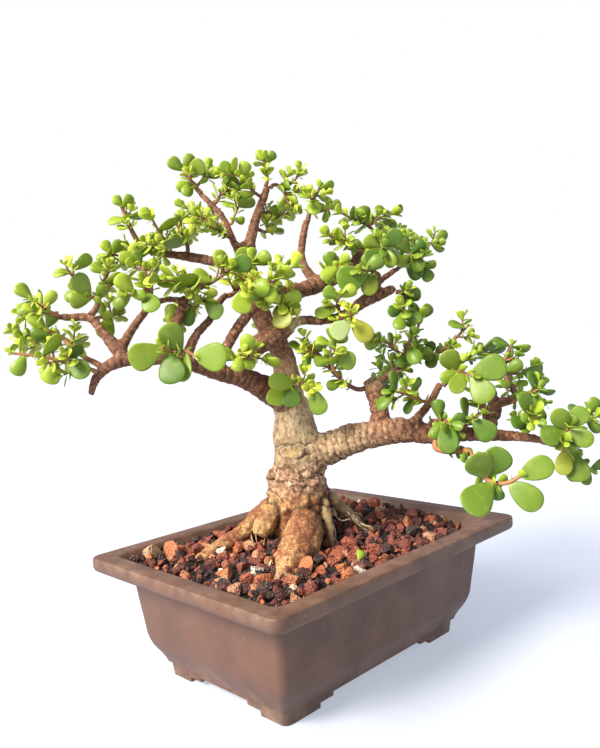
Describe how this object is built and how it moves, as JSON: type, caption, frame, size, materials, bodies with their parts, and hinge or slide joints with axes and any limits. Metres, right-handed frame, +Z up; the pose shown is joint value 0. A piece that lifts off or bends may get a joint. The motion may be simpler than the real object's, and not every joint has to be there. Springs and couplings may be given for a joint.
{
  "type": "jade bonsai in a rectangular pot",
  "caption": "Small-leaved jade bonsai with a thick rooted trunk and spreading boughs, planted in lava rock in a rectangular footed pot.",
  "frame": {"origin": "middle of the footprint's box, on the plane that the pot's feet stand on", "axes": "+Z up, X along the pot's long side, Y along its short side; the tree's front looks at the pot's corner at -X -Y"},
  "size_m": [0.311, 0.3034, 0.374],
  "materials": {
    "pot": "matt brown moulded plastic, paler where the rim is worn",
    "mesh": "black plastic screen",
    "soil": "crushed lava rock, maroon to orange with tan pieces",
    "bark": "tan ringed bark, redder on the young wood",
    "leaf": "fleshy green leaf with a soft sheen"
  },
  "bodies": {
    "root": {"drainage_mesh": "mesh", "pot": "pot", "soil": "soil", "spray_apex_right": "leaf", "spray_arch_big": "leaf", "spray_arch_top": "leaf", "spray_back_left": "leaf", "spray_back_right": "leaf", "spray_fork_front": "leaf", "spray_fork_left": "leaf", "spray_fork_tip": "leaf", "spray_fork_up": "leaf", "spray_left_behind": "leaf", "spray_left_dark": "leaf", "spray_left_flat": "leaf", "spray_left_inner": "leaf", "spray_left_knee": "leaf", "spray_left_knot": "leaf", "spray_left_long": "leaf", "spray_left_low": "leaf", "spray_left_outer": "leaf", "spray_left_rise": "leaf", "spray_left_spire": "leaf", "spray_left_under": "leaf", "spray_limb_hang": "leaf", "spray_limb_mid": "leaf", "spray_mid_big": "leaf", "spray_mid_olive": "leaf", "spray_mid_top": "leaf", "spray_right_crown": "leaf", "spray_right_dark": "leaf", "spray_right_end": "leaf", "spray_right_front": "leaf", "spray_right_knee": "leaf", "spray_right_low": "leaf", "spray_right_rise": "leaf", "spray_right_side": "leaf", "spray_right_skirt": "leaf", "spray_right_twig": "leaf", "spray_shelf_left": "leaf", "spray_shelf_right": "leaf", "spray_shelf_tip": "leaf", "spray_shelf_yellow": "leaf", "spray_stub_left": "leaf", "spray_stub_up": "leaf", "spray_top_back": "leaf", "spray_top_left": "leaf", "spray_top_left_dark": "leaf", "spray_top_left_low": "leaf", "spray_top_left_mid": "leaf", "spray_top_mid": "leaf", "spray_top_right": "leaf", "spray_top_spire": "leaf", "spray_top_stub": "leaf", "spray_top_twig": "leaf", "spray_trunk_twig": "leaf", "spray_under_big": "leaf", "trunk_and_boughs": "bark"}
  },
  "joints": []
}
